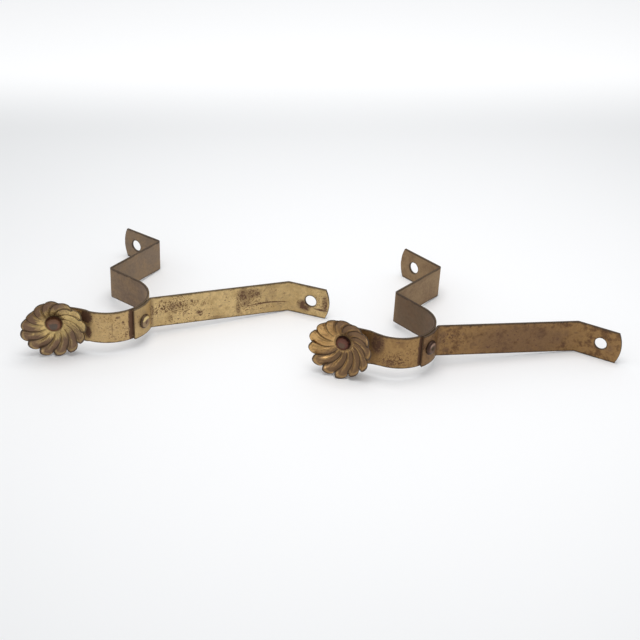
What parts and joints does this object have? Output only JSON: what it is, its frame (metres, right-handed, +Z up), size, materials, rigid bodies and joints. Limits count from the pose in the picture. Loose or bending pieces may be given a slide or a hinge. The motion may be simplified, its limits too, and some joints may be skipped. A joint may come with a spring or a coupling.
{
  "type": "curtain rod bracket",
  "caption": "Brass curtain-rod brackets of bent strip, each with a round rod seat, a riveted side brace, two screw tabs and a swirled flower rosette.",
  "frame": {"origin": "on the table, under the middle of the pair's bounding box", "axes": "+Z up, +X along the pair from the left bracket to the right one, +Y away from the rosettes towards the screw tabs"},
  "size_m": [0.223, 0.0924, 0.0248],
  "materials": {
    "gilt_brass": "worn gilt lacquer, speckled and scratched",
    "tarnished_brass": "lacquered brass, dull brown where the lacquer is gone",
    "stamped_brass": "stamped sheet, dark in the hollows",
    "copper_brown": "dark brown, worn on its high spots"
  },
  "bodies": {
    "left_bracket": {"left_hook_strip": "tarnished_brass", "left_brace_rivet": "copper_brown", "left_rosette_rivet": "copper_brown"},
    "left_brace": {"left_brace": "gilt_brass"},
    "left_rosette": {"left_rosette": "stamped_brass"},
    "right_bracket": {"right_hook_strip": "tarnished_brass", "right_brace_rivet": "copper_brown", "right_rosette_rivet": "copper_brown"},
    "right_brace": {"right_brace": "gilt_brass"},
    "right_rosette": {"right_rosette": "stamped_brass"}
  },
  "joints": [
    {"name": "left_brace_swivel", "type": "hinge", "parent": "left_bracket", "child": "left_brace", "pos_m": [-0.06782, -0.01921, 0.0096], "axis": [0.8782, -0.4783, -0.0021], "range_deg": [-2.5, 2.5]},
    {"name": "left_rosette_turn", "type": "hinge", "parent": "left_bracket", "child": "left_rosette", "pos_m": [-0.09965, -0.02426, 0.01212], "axis": [0.0559, -0.9963, 0.0656], "continuous": true},
    {"name": "right_brace_swivel", "type": "hinge", "parent": "right_bracket", "child": "right_brace", "pos_m": [0.03909, -0.03806, 0.01069], "axis": [0.7774, -0.6291, -0.0002], "range_deg": [-2.5, 2.5]},
    {"name": "right_rosette_turn", "type": "hinge", "parent": "right_bracket", "child": "right_rosette", "pos_m": [0.00878, -0.03644, 0.01172], "axis": [-0.3457, -0.9354, 0.0747], "continuous": true},
    {"name": "right_bracket_lift", "type": "slide", "parent": "left_bracket", "child": "right_bracket", "axis": [0, 0, 1], "range_m": [0, 0.05]}
  ]
}
